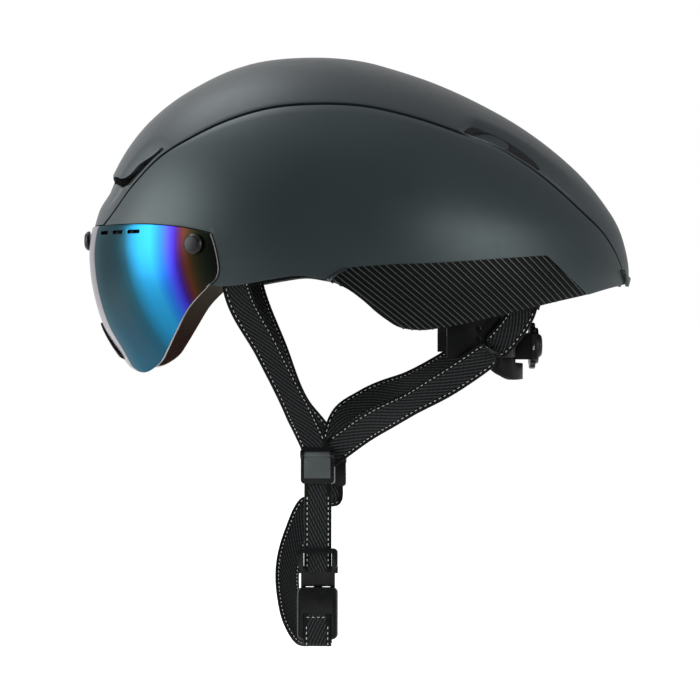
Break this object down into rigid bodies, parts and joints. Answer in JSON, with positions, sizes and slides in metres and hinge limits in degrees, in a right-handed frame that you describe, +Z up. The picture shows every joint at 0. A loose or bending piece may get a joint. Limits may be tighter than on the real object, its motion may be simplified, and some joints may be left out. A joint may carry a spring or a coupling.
{
  "type": "aero time trial helmet",
  "caption": "Aero time trial cycling helmet with a magnetic pull-off visor, a dial-tightened nape cradle and a buckled chin strap.",
  "frame": {"origin": "middle of the head cavity at brow level, which is the seat of the wearer's head (mount head)", "axes": "-X out of the face, +X towards the tail, -Y the wearer's left, +Y the wearer's right, +Z up through the crown"},
  "size_m": [0.3095, 0.2062, 0.3267],
  "materials": {
    "shell_crown": "satin",
    "shell_side": "satin",
    "rib_panel": "satin",
    "foam": "matte",
    "bezel": "matte",
    "magnet": "satin",
    "pad": "matte",
    "anchor": "satin",
    "webbing": "matte",
    "buckle_plastic": "gloss",
    "lens": "gloss",
    "trim_rubber": "matte",
    "cap_plastic": "gloss",
    "cradle_plastic": "satin",
    "screw": "satin",
    "dial_plastic": "gloss"
  },
  "bodies": {
    "helmet": {"crown_shell": "shell_crown", "left_side_shell": "shell_side", "right_side_shell": "shell_side", "left_rib_panel": "rib_panel", "right_rib_panel": "rib_panel", "foam_liner": "foam", "visor_bezel": "bezel", "seat_magnets": "magnet", "brow_pad": "pad", "crown_pads": "pad", "side_pads": "pad", "strap_anchors": "anchor", "left_front_strap": "webbing", "left_rear_strap": "webbing", "right_front_strap": "webbing", "right_rear_strap": "webbing", "left_divider": "buckle_plastic", "right_divider": "buckle_plastic", "temple_pins": "anchor"},
    "visor": {"visor_lens": "lens", "nose_trim": "trim_rubber", "visor_magnets": "magnet", "magnet_caps": "cap_plastic"},
    "headband": {"left_arm": "cradle_plastic", "right_arm": "cradle_plastic"},
    "cradle": {"cradle_frame": "cradle_plastic", "nape_pad": "pad", "dial_housing": "cradle_plastic", "housing_cover": "cradle_plastic", "housing_screws": "screw"},
    "dial": {"dial_pinion": "anchor", "dial_knob": "dial_plastic", "dial_cap": "cap_plastic"},
    "left_rack": {"left_rack": "anchor"},
    "right_rack": {"right_rack": "anchor"},
    "chin_loop": {"left_chin_strap": "webbing", "right_chin_strap": "webbing", "buckle_socket": "buckle_plastic"},
    "buckle_plug": {"buckle_plug": "buckle_plastic"},
    "left_lever": {"left_lever": "buckle_plastic"},
    "right_lever": {"right_lever": "buckle_plastic"}
  },
  "joints": [
    {"name": "visor_pull", "type": "slide", "parent": "helmet", "child": "visor", "axis": [-1, 0, 0], "range_m": [0, 0.03]},
    {"name": "headband_tilt", "type": "hinge", "parent": "helmet", "child": "headband", "pos_m": [-0.055, 0, -0.01], "axis": [0, 1, 0], "range_deg": [-4, 2]},
    {"name": "cradle_tighten", "type": "slide", "parent": "headband", "child": "cradle", "axis": [-1, 0, 0], "range_m": [0, 0.0119]},
    {"name": "dial_turn", "type": "hinge", "parent": "cradle", "child": "dial", "pos_m": [0.115, 0, -0.0602], "axis": [-1, 0, 0], "range_deg": [0, 195]},
    {"name": "left_rack_pull", "type": "slide", "parent": "cradle", "child": "left_rack", "axis": [0, 1, 0], "range_m": [0, 0.0123]},
    {"name": "right_rack_pull", "type": "slide", "parent": "cradle", "child": "right_rack", "axis": [0, -1, 0], "range_m": [0, 0.0123]},
    {"name": "chin_swing", "type": "hinge", "parent": "helmet", "child": "chin_loop", "pos_m": [-0.0005, -0.045, -0.133], "axis": [0.0662, 0.9923, -0.1047], "range_deg": [-20, 20]},
    {"name": "buckle_release", "type": "slide", "parent": "chin_loop", "child": "buckle_plug", "axis": [0, 0.105, 0.9945], "range_m": [0, 0.018]},
    {"name": "left_lever_open", "type": "hinge", "parent": "helmet", "child": "left_lever", "pos_m": [-0.00083, -0.04849, -0.11855], "axis": [-0.9978, 0.0658, -0.0069], "range_deg": [0, 80]},
    {"name": "right_lever_open", "type": "hinge", "parent": "helmet", "child": "right_lever", "pos_m": [0.00583, 0.05143, -0.1291], "axis": [0.9978, -0.0658, 0.0069], "range_deg": [0, 80]}
  ],
  "couplings": [
    {"joint": "dial_turn", "follows": "cradle_tighten", "rad_per_m": 277.78},
    {"joint": "left_rack_pull", "follows": "cradle_tighten", "ratio": 1},
    {"joint": "right_rack_pull", "follows": "cradle_tighten", "ratio": 1}
  ]
}
